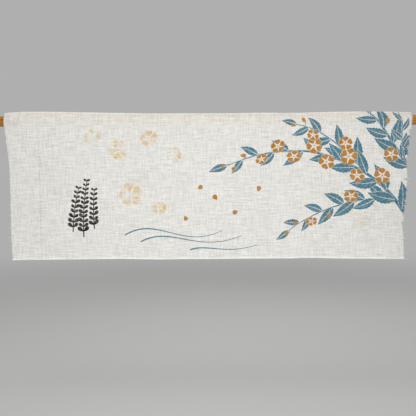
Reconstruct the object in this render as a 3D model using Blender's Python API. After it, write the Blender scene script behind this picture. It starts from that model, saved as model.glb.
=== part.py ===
# Tenugui towel draped over a plain round wooden rod.
#
# The towel is one cotton sheet. Its long selvages run along the rod, and its short ends are raw cuts.
# It falls flat in front, crosses the rod in a soft pressed fold that stands a little above it, and
# ends in a short flap behind.
# Origin: on the rod's axis, half way along it. +X runs along the rod to the viewer's right, the
# viewer stands at -Y, and +Z is up. All sizes are in metres.

import math

import bmesh
import bpy

# Rod
ROD_LENGTH = 1.000
ROD_RADIUS = 0.011
ROD_CHAMFER = 0.0015
ROD_SIDES = 48

# Towel, as it is cut
TOWEL_LENGTH = 0.880
TOWEL_WIDTH = 0.370
CLOTH_THICKNESS = 0.001

# How it hangs
SEAT_GAP = 0.0003
CLOTH_RADIUS = ROD_RADIUS + SEAT_GAP + CLOTH_THICKNESS / 2
NOSE_RADIUS = 0.0022
FRONT_DROP = 0.3005
FLAP_LEAN = 0.08

# Height of the fold's crest above the rod's axis, to the middle of the cloth
CREST_HEIGHT = (
    # x, height
    (-0.440, 0.0186),
    (-0.400, 0.0207),
    (-0.340, 0.0205),
    (-0.271, 0.0191),
    (-0.225, 0.0182),
    (-0.160, 0.0167),
    (-0.094, 0.0160),
    (0.008, 0.0159),
    (0.060, 0.0157),
    (0.113, 0.0165),
    (0.185, 0.0158),
    (0.270, 0.0176),
    (0.360, 0.0178),
    (0.440, 0.0160),
)

# How far the lower selvage lies above its mean line
HEM_LIFT = (
    # x, lift
    (-0.440, -0.0010),
    (-0.393, -0.0003),
    (-0.315, 0.0006),
    (-0.210, 0.0013),
    (-0.105, -0.0005),
    (-0.009, 0.0004),
    (0.091, 0.0006),
    (0.170, 0.0002),
    (0.226, 0.0015),
    (0.300, -0.0004),
    (0.360, -0.0006),
    (0.440, -0.0024),
)

# How far each raw end draws in, by the depth below the rod's axis
LEFT_INSET = (
    # below, inset
    (0.000, 0.0003),
    (0.026, 0.0025),
    (0.060, 0.0056),
    (0.094, 0.0102),
    (0.128, 0.0107),
    (0.222, 0.0114),
    (0.257, 0.0119),
    (0.302, 0.0138),
)
RIGHT_INSET = (
    # below, inset
    (0.000, -0.0012),
    (0.010, -0.0010),
    (0.030, 0.0030),
    (0.062, 0.0066),
    (0.095, 0.0086),
    (0.129, 0.0074),
    (0.180, 0.0118),
    (0.228, 0.0157),
    (0.262, 0.0138),
    (0.302, 0.0128),
)

# Slow waves across the hanging face
WAVES = (
    # length, place of one crest, height
    (0.310, 0.040, 0.0022),
    (0.170, -0.300, 0.0011),
    (0.118, 0.230, 0.0007),
)
WAVE_FULL_DEPTH = 0.240

# Soft pulls and hollows in the hanging face; a rise under zero is a hollow
SOFT_FOLDS = (
    # x and depth of one end, x and depth of the other, half width, rise
    (-0.428, 0.020, -0.330, 0.170, 0.018, -0.0016),
    (-0.395, 0.014, -0.250, 0.250, 0.022, 0.0014),
    (-0.300, 0.020, -0.225, 0.110, 0.015, -0.0008),
    (0.425, 0.030, 0.350, 0.200, 0.020, 0.0014),
    (0.430, 0.200, 0.365, 0.285, 0.024, -0.0024),
    (0.060, 0.120, 0.015, 0.290, 0.026, 0.0012),
)

# The crease that is pressed across the towel near its left end
CREASE_X = -0.369
CREASE_HALF_WIDTH = 0.0035
CREASE_DEPTH = 0.0006

# The raw ends turn back a little
CURL_BAND = 0.022
CURL_DEPTH = 0.0030

# How finely the sheet is divided
EVEN_COLUMNS = 56
FRONT_ROWS = 22
SHOULDER_ROWS = 3
SLOPE_ROWS = 2
NOSE_ROWS = 3
FLAP_ROWS = 2


def smooth(share):
    """0 to 1 with level ends, for a share that may run past them."""
    share = min(1.0, max(0.0, share))
    return share * share * (3 - 2 * share)


def read(table, place):
    """The value of a two-column table at a place, on a smooth curve through its rows."""
    last = len(table) - 1
    for row in range(last):
        if place <= table[row + 1][0] or row == last - 1:
            break
    (start, low), (end, high) = table[row], table[row + 1]
    before, after = table[max(row - 1, 0)], table[min(row + 2, last)]
    step = end - start
    share = min(1.0, max(0.0, (place - start) / step))
    slope_low = (high - before[1]) / (end - before[0]) * step
    slope_high = (after[1] - low) / (after[0] - start) * step
    square, cube = share * share, share * share * share
    return (
        (2 * cube - 3 * square + 1) * low
        + (cube - 2 * square + share) * slope_low
        + (3 * square - 2 * cube) * high
        + (cube - square) * slope_high
    )


def shoulder_angle(crest):
    """The angle from upright at which the cloth leaves the rod for the fold's nose."""
    return math.acos((CLOTH_RADIUS - NOSE_RADIUS) / (crest - NOSE_RADIUS))


def bend_sections(crest):
    """Lengths of cloth in the nose, the straight slope and the part that lies on the rod."""
    angle = shoulder_angle(crest)
    nose = NOSE_RADIUS * angle
    slope = (crest - NOSE_RADIUS) * math.sin(angle)
    seat = CLOTH_RADIUS * (math.pi / 2 - angle)
    return nose, slope, seat


def bend_point(distance, crest):
    """How far out from the rod's axis and how high the cloth is, at a distance from its crest."""
    angle = shoulder_angle(crest)
    nose, slope, seat = bend_sections(crest)
    if distance < nose:
        turn = distance / NOSE_RADIUS
        return NOSE_RADIUS * math.sin(turn), crest - NOSE_RADIUS * (1 - math.cos(turn))
    distance -= nose
    if distance < slope:
        out = NOSE_RADIUS * math.sin(angle) + distance * math.cos(angle)
        up = crest - NOSE_RADIUS * (1 - math.cos(angle)) - distance * math.sin(angle)
        return out, up
    distance -= slope
    if distance < seat:
        turn = angle + distance / CLOTH_RADIUS
        return CLOTH_RADIUS * math.sin(turn), CLOTH_RADIUS * math.cos(turn)
    return CLOTH_RADIUS, seat - distance


def fold_rise(x, below, fold):
    """How far one soft fold lifts the face at a point."""
    x_start, below_start, x_end, below_end, half_width, rise = fold
    run_x, run_below = x_end - x_start, below_end - below_start
    length = math.hypot(run_x, run_below)
    along = ((x - x_start) * run_x + (below - below_start) * run_below) / length
    across = ((x - x_start) * run_below - (below - below_start) * run_x) / length
    past = max(0.0, -along, along - length)
    reach = math.hypot(across, past) / half_width
    return rise * math.exp(-reach * reach)


def face_rise(x, below):
    """How far the hanging face stands towards the viewer, at a depth below the rod's axis."""
    waves = sum(height * math.cos(math.tau * (x - at) / length) for length, at, height in WAVES)
    folds = sum(fold_rise(x, below, fold) for fold in SOFT_FOLDS)
    off_crease = (x - CREASE_X) / CREASE_HALF_WIDTH
    crease = CREASE_DEPTH * math.exp(-off_crease * off_crease)
    curl = CURL_DEPTH * smooth((abs(x) - TOWEL_LENGTH / 2 + CURL_BAND) / CURL_BAND)
    clear_of_rod = smooth((below - ROD_RADIUS / 2) / (3 * ROD_RADIUS))
    return waves * smooth(below / WAVE_FULL_DEPTH) + (folds - crease - curl) * clear_of_rod


def towel_point(x, distance):
    """The middle of the cloth, x along the flat cut and a distance from the crest, front positive."""
    out, up = bend_point(abs(distance), read(CREST_HEIGHT, x))
    below = max(0.0, -up)
    if distance < 0:
        return x, out + FLAP_LEAN * below, up
    inset = read(LEFT_INSET if x < 0 else RIGHT_INSET, below)
    drawn_in = 1 - inset / (TOWEL_LENGTH / 2)
    return x * drawn_in, -out - face_rise(x, below), up


def column_places():
    """Even columns along the towel, with three close ones where the crease runs."""
    step = TOWEL_LENGTH / EVEN_COLUMNS
    even = [column * step - TOWEL_LENGTH / 2 for column in range(EVEN_COLUMNS + 1)]
    kept = [x for x in even if abs(x - CREASE_X) > 2 * CREASE_HALF_WIDTH]
    return sorted(kept + [CREASE_X + side * CREASE_HALF_WIDTH for side in (-1, 0, 1)])


def steps(start, end, count):
    """Places from start towards end, without the end."""
    return [start + (end - start) * step / count for step in range(count)]


def row_distances(x):
    """Distances from the crest of every row, from the lower selvage over the rod to the flap's."""
    nose, slope, seat = bend_sections(read(CREST_HEIGHT, x))
    level = nose + slope + seat
    hem = level + FRONT_DROP - read(HEM_LIFT, x)
    front = (
        steps(hem, level, FRONT_ROWS)
        + steps(level, nose + slope, SHOULDER_ROWS)
        + steps(nose + slope, nose, SLOPE_ROWS)
        + steps(nose, 0, NOSE_ROWS)
    )
    bend = [-distance for distance in reversed(front[FRONT_ROWS:])]
    flap = steps(-level, hem - TOWEL_WIDTH, FLAP_ROWS)
    return front + [0.0] + bend[:-1] + flap + [hem - TOWEL_WIDTH]


def material(name, colour, roughness):
    """A Principled material of one colour."""
    made = bpy.data.materials.new(name)
    made.use_nodes = True
    shader = made.node_tree.nodes["Principled BSDF"]
    shader.inputs["Base Color"].default_value = (*colour, 1)
    shader.inputs["Roughness"].default_value = roughness
    shader.inputs["Metallic"].default_value = 0
    return made


def add_node(name, mesh_builder, finish):
    """One object of the model, from a filled bmesh."""
    mesh = bpy.data.meshes.new(name)
    mesh_builder.to_mesh(mesh)
    mesh_builder.free()
    mesh.materials.append(finish)
    node = bpy.data.objects.new(name, mesh)
    bpy.context.scene.collection.objects.link(node)
    return node


def build_rod():
    """A plain round rod along X with chamfered ends."""
    shape = bmesh.new()
    bmesh.ops.create_circle(shape, cap_ends=True, segments=ROD_SIDES, radius=ROD_RADIUS)
    made = bmesh.ops.extrude_face_region(shape, geom=shape.faces[:])
    top = [part for part in made["geom"] if isinstance(part, bmesh.types.BMVert)]
    bmesh.ops.translate(shape, verts=top, vec=(0, 0, ROD_LENGTH))
    rims = [edge for edge in shape.edges if edge.verts[0].co.z == edge.verts[1].co.z]
    bmesh.ops.bevel(
        shape,
        geom=rims,
        offset=ROD_CHAMFER,
        offset_type="OFFSET",
        affect="EDGES",
        segments=1,
        profile=0.5,
        material=-1,
    )
    bmesh.ops.translate(shape, verts=shape.verts, vec=(0, 0, -ROD_LENGTH / 2))
    bmesh.ops.recalc_face_normals(shape, faces=shape.faces)
    rod = add_node("rod", shape, material("golden_brown_wood", (0.36, 0.17, 0.04), 0.35))
    rod.rotation_euler = (0, math.pi / 2, 0)
    rod.data.shade_smooth()
    rod.data.set_sharp_from_angle(angle=math.radians(30))


def build_towel():
    """The cotton sheet: a flat grid whose points are laid where the cloth hangs, then thickened."""
    columns = column_places()
    rows = [row_distances(x) for x in columns]
    row_count = len(rows[0])
    shape = bmesh.new()
    bmesh.ops.create_grid(
        shape, x_segments=len(columns) - 1, y_segments=row_count - 1, size=0.5
    )
    for point in shape.verts:
        column = round((point.co.x + 0.5) * (len(columns) - 1))
        row = round((point.co.y + 0.5) * (row_count - 1))
        point.co = towel_point(columns[column], rows[column][row])
    bmesh.ops.recalc_face_normals(shape, faces=shape.faces)
    towel = add_node("towel", shape, material("undyed_cotton", (0.72, 0.70, 0.65), 0.9))
    thicken = towel.modifiers.new("thickness", "SOLIDIFY")
    thicken.thickness = CLOTH_THICKNESS
    thicken.offset = 0
    thicken.use_even_offset = True
    towel.data.shade_smooth()


for old in list(bpy.data.objects):
    bpy.data.objects.remove(old)
build_rod()
build_towel()
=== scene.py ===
"""The finished look of a tenugui towel that hangs over a wooden rod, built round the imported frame."""

import cmath
import math
import random

import bmesh
import bpy
import numpy
from mathutils import Matrix, Vector, noise
from mathutils.geometry import delaunay_2d_cdt, interpolate_bezier


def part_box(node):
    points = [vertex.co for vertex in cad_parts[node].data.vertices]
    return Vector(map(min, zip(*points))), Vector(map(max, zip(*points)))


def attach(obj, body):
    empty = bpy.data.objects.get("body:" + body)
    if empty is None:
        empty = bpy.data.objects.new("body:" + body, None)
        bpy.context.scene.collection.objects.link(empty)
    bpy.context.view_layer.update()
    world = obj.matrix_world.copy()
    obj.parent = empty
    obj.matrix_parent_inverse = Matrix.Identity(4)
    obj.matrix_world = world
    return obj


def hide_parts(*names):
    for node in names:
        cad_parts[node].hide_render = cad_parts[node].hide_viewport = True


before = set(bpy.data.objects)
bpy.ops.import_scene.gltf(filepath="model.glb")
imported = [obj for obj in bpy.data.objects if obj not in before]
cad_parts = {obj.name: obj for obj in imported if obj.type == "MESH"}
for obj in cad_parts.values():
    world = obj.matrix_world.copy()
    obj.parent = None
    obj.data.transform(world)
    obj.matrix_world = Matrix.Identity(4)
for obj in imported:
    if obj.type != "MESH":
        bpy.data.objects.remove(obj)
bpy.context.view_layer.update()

# The rod. A straight round hardwood rod under clear varnish, with lightly eased ends. It lies level, and
# only a stub of it shows past each end of the towel.

rod_low, rod_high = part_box("rod")
ROD_LENGTH = rod_high[0] - rod_low[0]
ROD_RADIUS = (rod_high[2] - rod_low[2]) / 2
ROD_EASE = 0.0015
ROD_SIDES = 96
GRAIN_STRETCH = (9, 260, 260)
GRAIN_SHARE = 0.6
FIGURE_STRETCH = (3, 70, 70)
WOOD_TONES = (
    # place in the grain's range, colour
    (0.34, (0.170, 0.058, 0.005, 1)),
    (0.46, (0.430, 0.172, 0.010, 1)),
    (0.62, (0.640, 0.302, 0.033, 1)),
)


def put_node(tree, kind, inputs=None, **settings):
    """Adds a node, with its settings, and each input set to a value or linked to a socket."""
    node = tree.nodes.new(kind)
    for name, value in settings.items():
        setattr(node, name, value)
    for name, value in (inputs or {}).items():
        if isinstance(value, bpy.types.NodeSocket):
            tree.links.new(value, node.inputs[name])
        else:
            node.inputs[name].default_value = value
    return node


def maths(tree, operation, first, second=0.0, third=0.0):
    """One Math node's result."""
    node = put_node(tree, "ShaderNodeMath", {0: first, 1: second, 2: third}, operation=operation)
    return node.outputs[0]


def new_finish(name):
    """A material with only its Principled shader and output, ready for its own nodes."""
    finish = bpy.data.materials.new(name)
    finish.use_nodes = True
    return finish, finish.node_tree, finish.node_tree.nodes["Principled BSDF"]


def keep_piece(name, shape, finish):
    """Makes a finished piece of a bmesh, which moves with the frame's one body."""
    mesh = bpy.data.meshes.new(name)
    shape.to_mesh(mesh)
    shape.free()
    mesh.materials.append(finish)
    piece = bpy.data.objects.new(name, mesh)
    bpy.context.scene.collection.objects.link(piece)
    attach(piece, "root")
    return piece


def varnished_wood():
    """Long uneven grain under a smooth coat of varnish."""
    finish, tree, shader = new_finish("varnished_wood")
    place = put_node(tree, "ShaderNodeTexCoord").outputs["Object"]
    along = put_node(tree, "ShaderNodeMapping", {"Vector": place, "Scale": GRAIN_STRETCH}).outputs[0]
    broad = put_node(tree, "ShaderNodeMapping", {"Vector": place, "Scale": FIGURE_STRETCH}).outputs[0]
    grain = put_node(
        tree, "ShaderNodeTexNoise", {"Vector": along, "Scale": 1.0, "Detail": 6.0, "Roughness": 0.6}
    ).outputs["Fac"]
    figure = put_node(
        tree, "ShaderNodeTexNoise", {"Vector": broad, "Scale": 1.0, "Detail": 2.0, "Distortion": 0.6}
    ).outputs["Fac"]
    broad_share = maths(tree, "MULTIPLY", figure, 1 - GRAIN_SHARE)
    mixed = maths(tree, "MULTIPLY_ADD", grain, GRAIN_SHARE, broad_share)
    tint = put_node(tree, "ShaderNodeValToRGB", {"Fac": mixed})
    ramp = tint.color_ramp
    for end, (position, colour) in enumerate((WOOD_TONES[0], WOOD_TONES[-1])):
        ramp.elements[end].position = position
        ramp.elements[end].color = colour
    for position, colour in WOOD_TONES[1:-1]:
        ramp.elements.new(position).color = colour
    tree.links.new(tint.outputs["Color"], shader.inputs["Base Color"])
    bump = put_node(tree, "ShaderNodeBump", {"Strength": 0.25, "Distance": 0.0002, "Height": grain})
    tree.links.new(bump.outputs["Normal"], shader.inputs["Normal"])
    shader.inputs["Roughness"].default_value = 0.5
    shader.inputs["Specular IOR Level"].default_value = 0.3
    shader.inputs["Coat Weight"].default_value = 0.35
    shader.inputs["Coat Roughness"].default_value = 0.18
    return finish


def turn_rod():
    """A disc drawn out to the rod's length, with both rims eased."""
    shape = bmesh.new()
    bmesh.ops.create_circle(shape, cap_ends=True, segments=ROD_SIDES, radius=ROD_RADIUS)
    drawn = bmesh.ops.extrude_face_region(shape, geom=shape.faces[:])
    top = [part for part in drawn["geom"] if isinstance(part, bmesh.types.BMVert)]
    bmesh.ops.translate(shape, verts=top, vec=(0, 0, ROD_LENGTH))
    rims = [edge for edge in shape.edges if edge.verts[0].co.z == edge.verts[1].co.z]
    bmesh.ops.bevel(
        shape, geom=rims, offset=ROD_EASE, affect="EDGES", segments=3, profile=0.5, material=-1
    )
    bmesh.ops.translate(shape, verts=shape.verts, vec=(0, 0, -ROD_LENGTH / 2))
    bmesh.ops.rotate(shape, verts=shape.verts, matrix=Matrix.Rotation(math.pi / 2, 3, "Y"))
    bmesh.ops.recalc_face_normals(shape, faces=shape.faces)
    for face in shape.faces:
        face.smooth = True
    return shape


rod = keep_piece("varnished_rod", turn_rod(), varnished_wood())
rod.data.set_sharp_from_angle(angle=math.radians(40))
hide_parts("rod")

# How the towel hangs. The starched cotton falls flat in front, lies on the front and back of the rod, and
# stands a little above it in a soft pressed fold. It keeps a few slow waves and pulls.

CUT_LENGTH = 0.880
CUT_WIDTH = 0.370
CLOTH_THICKNESS = 0.0004
CLOTH_RADIUS = ROD_RADIUS + 0.0008
NOSE_RADIUS = 0.0022
FRONT_DROP = 0.3005
FLAP_LEAN = 0.08
CREST_HEIGHT = (
    # along the rod, height of the fold's crest over the rod's axis
    (-0.440, 0.0186),
    (-0.400, 0.0207),
    (-0.340, 0.0205),
    (-0.271, 0.0191),
    (-0.225, 0.0182),
    (-0.160, 0.0167),
    (-0.094, 0.0160),
    (0.008, 0.0159),
    (0.060, 0.0157),
    (0.113, 0.0165),
    (0.185, 0.0158),
    (0.270, 0.0176),
    (0.360, 0.0178),
    (0.440, 0.0160),
)
HEM_LIFT = (
    # along the rod, height of the lower selvage over its mean line
    (-0.440, -0.0010),
    (-0.393, -0.0003),
    (-0.315, 0.0006),
    (-0.210, 0.0013),
    (-0.105, -0.0005),
    (-0.009, 0.0004),
    (0.091, 0.0006),
    (0.170, 0.0002),
    (0.226, 0.0015),
    (0.300, -0.0004),
    (0.360, -0.0006),
    (0.440, -0.0024),
)
LEFT_INSET = (
    # below the rod's axis, how far the left raw end draws in
    (0.000, 0.0003),
    (0.026, 0.0025),
    (0.060, 0.0056),
    (0.094, 0.0102),
    (0.128, 0.0107),
    (0.222, 0.0114),
    (0.257, 0.0119),
    (0.302, 0.0138),
)
RIGHT_INSET = (
    # below the rod's axis, how far the right raw end draws in
    (0.000, -0.0012),
    (0.010, -0.0010),
    (0.030, 0.0030),
    (0.062, 0.0066),
    (0.095, 0.0086),
    (0.129, 0.0074),
    (0.180, 0.0118),
    (0.228, 0.0157),
    (0.262, 0.0138),
    (0.302, 0.0128),
)
WAVES = (
    # length, place of one crest, height
    (0.310, 0.040, 0.0022),
    (0.170, -0.300, 0.0011),
    (0.118, 0.230, 0.0007),
)
WAVE_FULL_DEPTH = 0.240
SOFT_FOLDS = (
    # x and depth of one end, x and depth of the other, half width, rise
    (-0.428, 0.020, -0.330, 0.170, 0.018, -0.0016),
    (-0.395, 0.014, -0.250, 0.250, 0.022, 0.0014),
    (-0.300, 0.020, -0.225, 0.110, 0.015, -0.0008),
    (0.425, 0.030, 0.350, 0.200, 0.020, 0.0014),
    (0.430, 0.200, 0.365, 0.285, 0.024, -0.0024),
    (0.060, 0.120, 0.015, 0.290, 0.026, 0.0012),
)
PUCKERS = (
    # x and distance from the crest of one end, the same of the other, half width, rise
    (-0.432, 0.022, -0.418, 0.002, 0.0040, 0.0027),
    (-0.416, 0.028, -0.400, 0.003, 0.0038, 0.0023),
    (-0.397, 0.024, -0.386, 0.006, 0.0036, 0.0017),
    (-0.374, 0.020, -0.366, 0.004, 0.0045, 0.0008),
    (0.402, 0.012, 0.424, 0.034, 0.0055, 0.0013),
    (0.384, 0.030, 0.398, 0.016, 0.0050, 0.0008),
)
CREASE_X = -0.369
CREASE_HALF_WIDTH = 0.0018
CREASE_DEPTH = 0.0012
CREASE_STRAY = 0.0046
CREASE_STRAY_FROM = 0.035
CREASE_STRAY_TO = 0.090
CURL_BAND = 0.022
CURL_DEPTH = 0.0030


def smooth(share):
    """0 to 1 with level ends, for a share that may run past them."""
    share = min(1.0, max(0.0, share))
    return share * share * (3 - 2 * share)


def read(table, place):
    """The value of a two-column table at a place, on a smooth curve through its rows."""
    last = len(table) - 1
    for row in range(last):
        if place <= table[row + 1][0] or row == last - 1:
            break
    (start, low), (end, high) = table[row], table[row + 1]
    before, after = table[max(row - 1, 0)], table[min(row + 2, last)]
    step = end - start
    share = min(1.0, max(0.0, (place - start) / step))
    slope_low = (high - before[1]) / (end - before[0]) * step
    slope_high = (after[1] - low) / (after[0] - start) * step
    square, cube = share * share, share * share * share
    return (
        (2 * cube - 3 * square + 1) * low
        + (cube - 2 * square + share) * slope_low
        + (3 * square - 2 * cube) * high
        + (cube - square) * slope_high
    )


def bend_sections(crest):
    """The angle at which the cloth leaves the rod, and the lengths of its nose, slope and seat."""
    angle = math.acos((CLOTH_RADIUS - NOSE_RADIUS) / (crest - NOSE_RADIUS))
    return (
        angle,
        NOSE_RADIUS * angle,
        (crest - NOSE_RADIUS) * math.sin(angle),
        CLOTH_RADIUS * (math.pi / 2 - angle),
    )


def bend_point(distance, crest):
    """How far out from the rod's axis and how high the cloth is, at a distance from its crest."""
    angle, nose, slope, seat = bend_sections(crest)
    if distance < nose:
        turn = distance / NOSE_RADIUS
        return NOSE_RADIUS * math.sin(turn), crest - NOSE_RADIUS * (1 - math.cos(turn))
    distance -= nose
    if distance < slope:
        out = NOSE_RADIUS * math.sin(angle) + distance * math.cos(angle)
        return out, crest - NOSE_RADIUS * (1 - math.cos(angle)) - distance * math.sin(angle)
    distance -= slope
    if distance < seat:
        turn = angle + distance / CLOTH_RADIUS
        return CLOTH_RADIUS * math.sin(turn), CLOTH_RADIUS * math.cos(turn)
    return CLOTH_RADIUS, seat - distance


def fold_rise(x, below, fold):
    """How far one soft fold lifts the face at a point."""
    x_start, below_start, x_end, below_end, half_width, rise = fold
    run_x, run_below = x_end - x_start, below_end - below_start
    length = math.hypot(run_x, run_below)
    along = ((x - x_start) * run_x + (below - below_start) * run_below) / length
    across = ((x - x_start) * run_below - (below - below_start) * run_x) / length
    past = max(0.0, -along, along - length)
    reach = math.hypot(across, past) / half_width
    return rise * math.exp(-reach * reach)


def face_rise(x, below):
    """How far the hanging face stands towards the viewer, at a depth below the rod's axis."""
    waves = sum(height * math.cos(math.tau * (x - at) / length) for length, at, height in WAVES)
    folds = sum(fold_rise(x, below, fold) for fold in SOFT_FOLDS)
    stray_share = (below - CREASE_STRAY_FROM) / (CREASE_STRAY_TO - CREASE_STRAY_FROM)
    off_crease = (x - CREASE_X + CREASE_STRAY * smooth(stray_share)) / CREASE_HALF_WIDTH
    crease = CREASE_DEPTH * math.exp(-off_crease * off_crease)
    curl = CURL_DEPTH * smooth((abs(x) - CUT_LENGTH / 2 + CURL_BAND) / CURL_BAND)
    clear_of_rod = smooth((below - ROD_RADIUS / 2) / (3 * ROD_RADIUS))
    return waves * smooth(below / WAVE_FULL_DEPTH) + (folds - crease - curl) * clear_of_rod


def hem_distance(x):
    """Length of cloth from the crest down to the lower selvage."""
    return sum(bend_sections(read(CREST_HEIGHT, x))[1:]) + FRONT_DROP - read(HEM_LIFT, x)


def towel_point(x, distance):
    """The middle of the cloth, x along the flat cut and a distance from the crest, front positive."""
    out, up = bend_point(abs(distance), read(CREST_HEIGHT, x))
    below = max(0.0, -up)
    if distance < 0:
        return Vector((x, out + FLAP_LEAN * below, up))
    inset = read(LEFT_INSET if x < 0 else RIGHT_INSET, below)
    drawn_in = 1 - inset / (CUT_LENGTH / 2)
    pucker = sum(fold_rise(x, distance, fold) for fold in PUCKERS)
    return Vector((x * drawn_in, -out - face_rise(x, below) - pucker, up))


# The dyed pattern. Stencil-dyed sprays of a yellow rose, with toothed leaves and five-petalled blossoms,
# reach in from the right over three lines of water. Dark sprigs and a few faint blossoms lie at the left.

DYES = {
    # name, amounts of teal, ochre, ink and faint ochre
    "bare": (0.0, 0.0, 0.0, 0.0),
    "teal": (1, 0, 0, 0),
    "ochre": (0, 1, 0, 0),
    "olive": (0.45, 0.55, 0, 0),
    "ink": (0, 0, 1, 0),
    "faint": (0, 0, 0, 1),
}
BARE_RIM = 0.0007
CURVE_PLACES = 40
STEM_TIP = 0.0014
STEM_END = 0.995
SPRAYS = {
    # name, the four control places of the stem's curve, along and up from the lower selvage
    "arch": (0.475 + 0.050j, 0.400 + 0.180j, 0.240 + 0.290j, 0.040 + 0.200j),
    "crown": (0.475 + 0.150j, 0.420 + 0.235j, 0.370 + 0.300j, 0.285 + 0.385j),
    "low": (0.420 + 0.124j, 0.350 + 0.140j, 0.270 + 0.120j, 0.180 + 0.060j),
    "upper": (0.347 + 0.185j, 0.310 + 0.230j, 0.260 + 0.275j, 0.190 + 0.290j),
    "edge": (0.436 + 0.214j, 0.418 + 0.252j, 0.426 + 0.290j, 0.402 + 0.352j),
}
SPRAY_GROWTH = (
    # spray, stem width at its root, leaves, share of the first leaf, leaf length at its root
    ("crown", 0.0084, 13, 0.14, 0.074),
    ("edge", 0.0034, 6, 0.22, 0.040),
    ("upper", 0.0040, 7, 0.16, 0.062),
    ("low", 0.0044, 10, 0.14, 0.066),
    ("arch", 0.0090, 15, 0.155, 0.071),
)
# a leaf, in shares of its length, its breadth or one tooth, with its angles in radians
LEAF_DWINDLE = 0.42
LEAF_SIZES = (0.86, 1.08)
LEAF_SPREADS = (0.55, 0.95)
LEAF_BENDS = (0.15, 0.45)
LAST_LEAF_SPREAD = 0.3
LEAF_HALF_WIDTH = 0.20
LEAF_WIDEST = 0.4
LEAF_TEETH = 8
TOOTH_POINT = 0.55
TOOTH_REACH = 0.98
TOOTH_UNEVEN = 0.06
NOTCH_AFTER = 0.35
NOTCH_REACH = 0.86
MIDRIB_STEPS = 6
MIDRIB_LENGTH = 0.88
MIDRIB_WIDTHS = (0.0014, 0.0005)
VEINS = 4
VEIN_PITCH = 0.16
VEIN_RUN = 0.15
VEIN_REACH = 0.66
VEIN_WIDTH = 0.0006
BLOSSOMS = (
    # spray, share along it, out to its left, width, turn, how far it faces the viewer
    ("arch", 0.335, -0.016, 0.036, 0.3, 0.95),
    ("arch", 0.430, 0.014, 0.034, 1.0, 0.85),
    ("arch", 0.500, -0.015, 0.038, 0.1, 1.00),
    ("arch", 0.585, 0.013, 0.036, 0.6, 0.90),
    ("arch", 0.655, -0.014, 0.036, 0.8, 0.95),
    ("arch", 0.735, 0.012, 0.033, 0.2, 0.80),
    ("arch", 0.800, -0.012, 0.032, 0.5, 0.90),
    ("arch", 0.870, 0.010, 0.028, 1.1, 0.75),
    ("upper", 0.420, -0.013, 0.032, 0.4, 0.90),
    ("upper", 0.780, 0.011, 0.028, 0.9, 0.80),
    ("low", 0.450, -0.013, 0.032, 0.2, 0.85),
    ("low", 0.820, 0.010, 0.026, 0.7, 0.75),
    ("crown", 0.360, 0.016, 0.034, 0.5, 0.90),
)
BLOSSOM_LEANS = (-0.5, 0.5)
BLOSSOM_STALK_BEHIND = 0.02
BLOSSOM_STALK = (0.0016, 0.0012)
BUDS = (
    # spray, share along it, out to its left, length
    ("arch", 0.925, -0.010, 0.012),
    ("arch", 0.955, 0.009, 0.011),
    ("arch", 0.995, -0.004, 0.010),
    ("upper", 0.900, -0.009, 0.011),
    ("upper", 0.990, 0.003, 0.010),
    ("low", 0.640, 0.011, 0.012),
    ("low", 0.930, -0.008, 0.011),
    ("low", 0.995, 0.003, 0.010),
    ("crown", 0.560, -0.013, 0.012),
)
BUD_STALK_END = 0.985
BUD_STALK_AHEAD = 0.015
BUD_STALK_ARCH = 0.0006
BUD_STALK = (0.0013, 0.0010)
BUD_ASIDE = 0.005
BUD_BREADTH = 0.72
BUD_CUP_DEPTH = 0.0012
BUD_CUP_LENGTH = 0.55
BUD_CUP_BREADTH = 1.1
PETAL_EDGE = (
    # share of the blossom's radius, share of the angle to the next petal's edge
    (0.20, 0.24),
    (0.42, 0.62),
    (0.66, 0.88),
    (0.85, 0.84),
    (0.97, 0.56),
    (1.00, 0.28),
    (0.94, 0.00),
)
PETALS = 5
BARE_DISC = 0.78
# the stamens, in shares of the petal's half angle or the blossom's radius
STAMEN_PLACES = (-0.3, 0.0, 0.3)
STAMEN_ROOT = 0.18
STAMEN_HALF_ANGLE = 0.06
STAMEN_TIP = 0.50
STAMEN_SHORTER = 0.12
EYE = 0.10
DROP_EDGE = (
    # share of the length, share of the half breadth
    (0.25, 0.55),
    (0.60, 1.00),
    (0.88, 0.72),
)
LOOSE_PETAL_BREADTH = 0.85
LOOSE_PETALS = (
    # place, length, heading
    (0.020 + 0.128j, 0.013, 2.2),
    (-0.022 + 0.152j, 0.012, 0.6),
    (0.066 + 0.104j, 0.012, 3.6),
    (-0.052 + 0.094j, 0.011, 5.1),
    (0.110 + 0.146j, 0.012, 1.2),
)
WATER_WIDTHS = (0.0030, 0.0011)
WATER = (
    # the four control places of each line's curve
    (-0.185 + 0.052j, -0.110 + 0.098j, -0.060 + 0.018j, 0.032 + 0.062j),
    (-0.150 + 0.038j, -0.085 + 0.076j, -0.030 + 0.010j, 0.075 + 0.050j),
    (-0.040 + 0.020j, -0.005 + 0.034j, 0.040 + 0.008j, 0.110 + 0.030j),
)
INK_SPRIGS = (
    # foot, height, lean from upright, pairs of leaves
    (-0.300 + 0.060j, 0.098, 0.05, 9),
    (-0.276 + 0.048j, 0.126, -0.03, 12),
    (-0.252 + 0.066j, 0.086, -0.09, 8),
)
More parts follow.
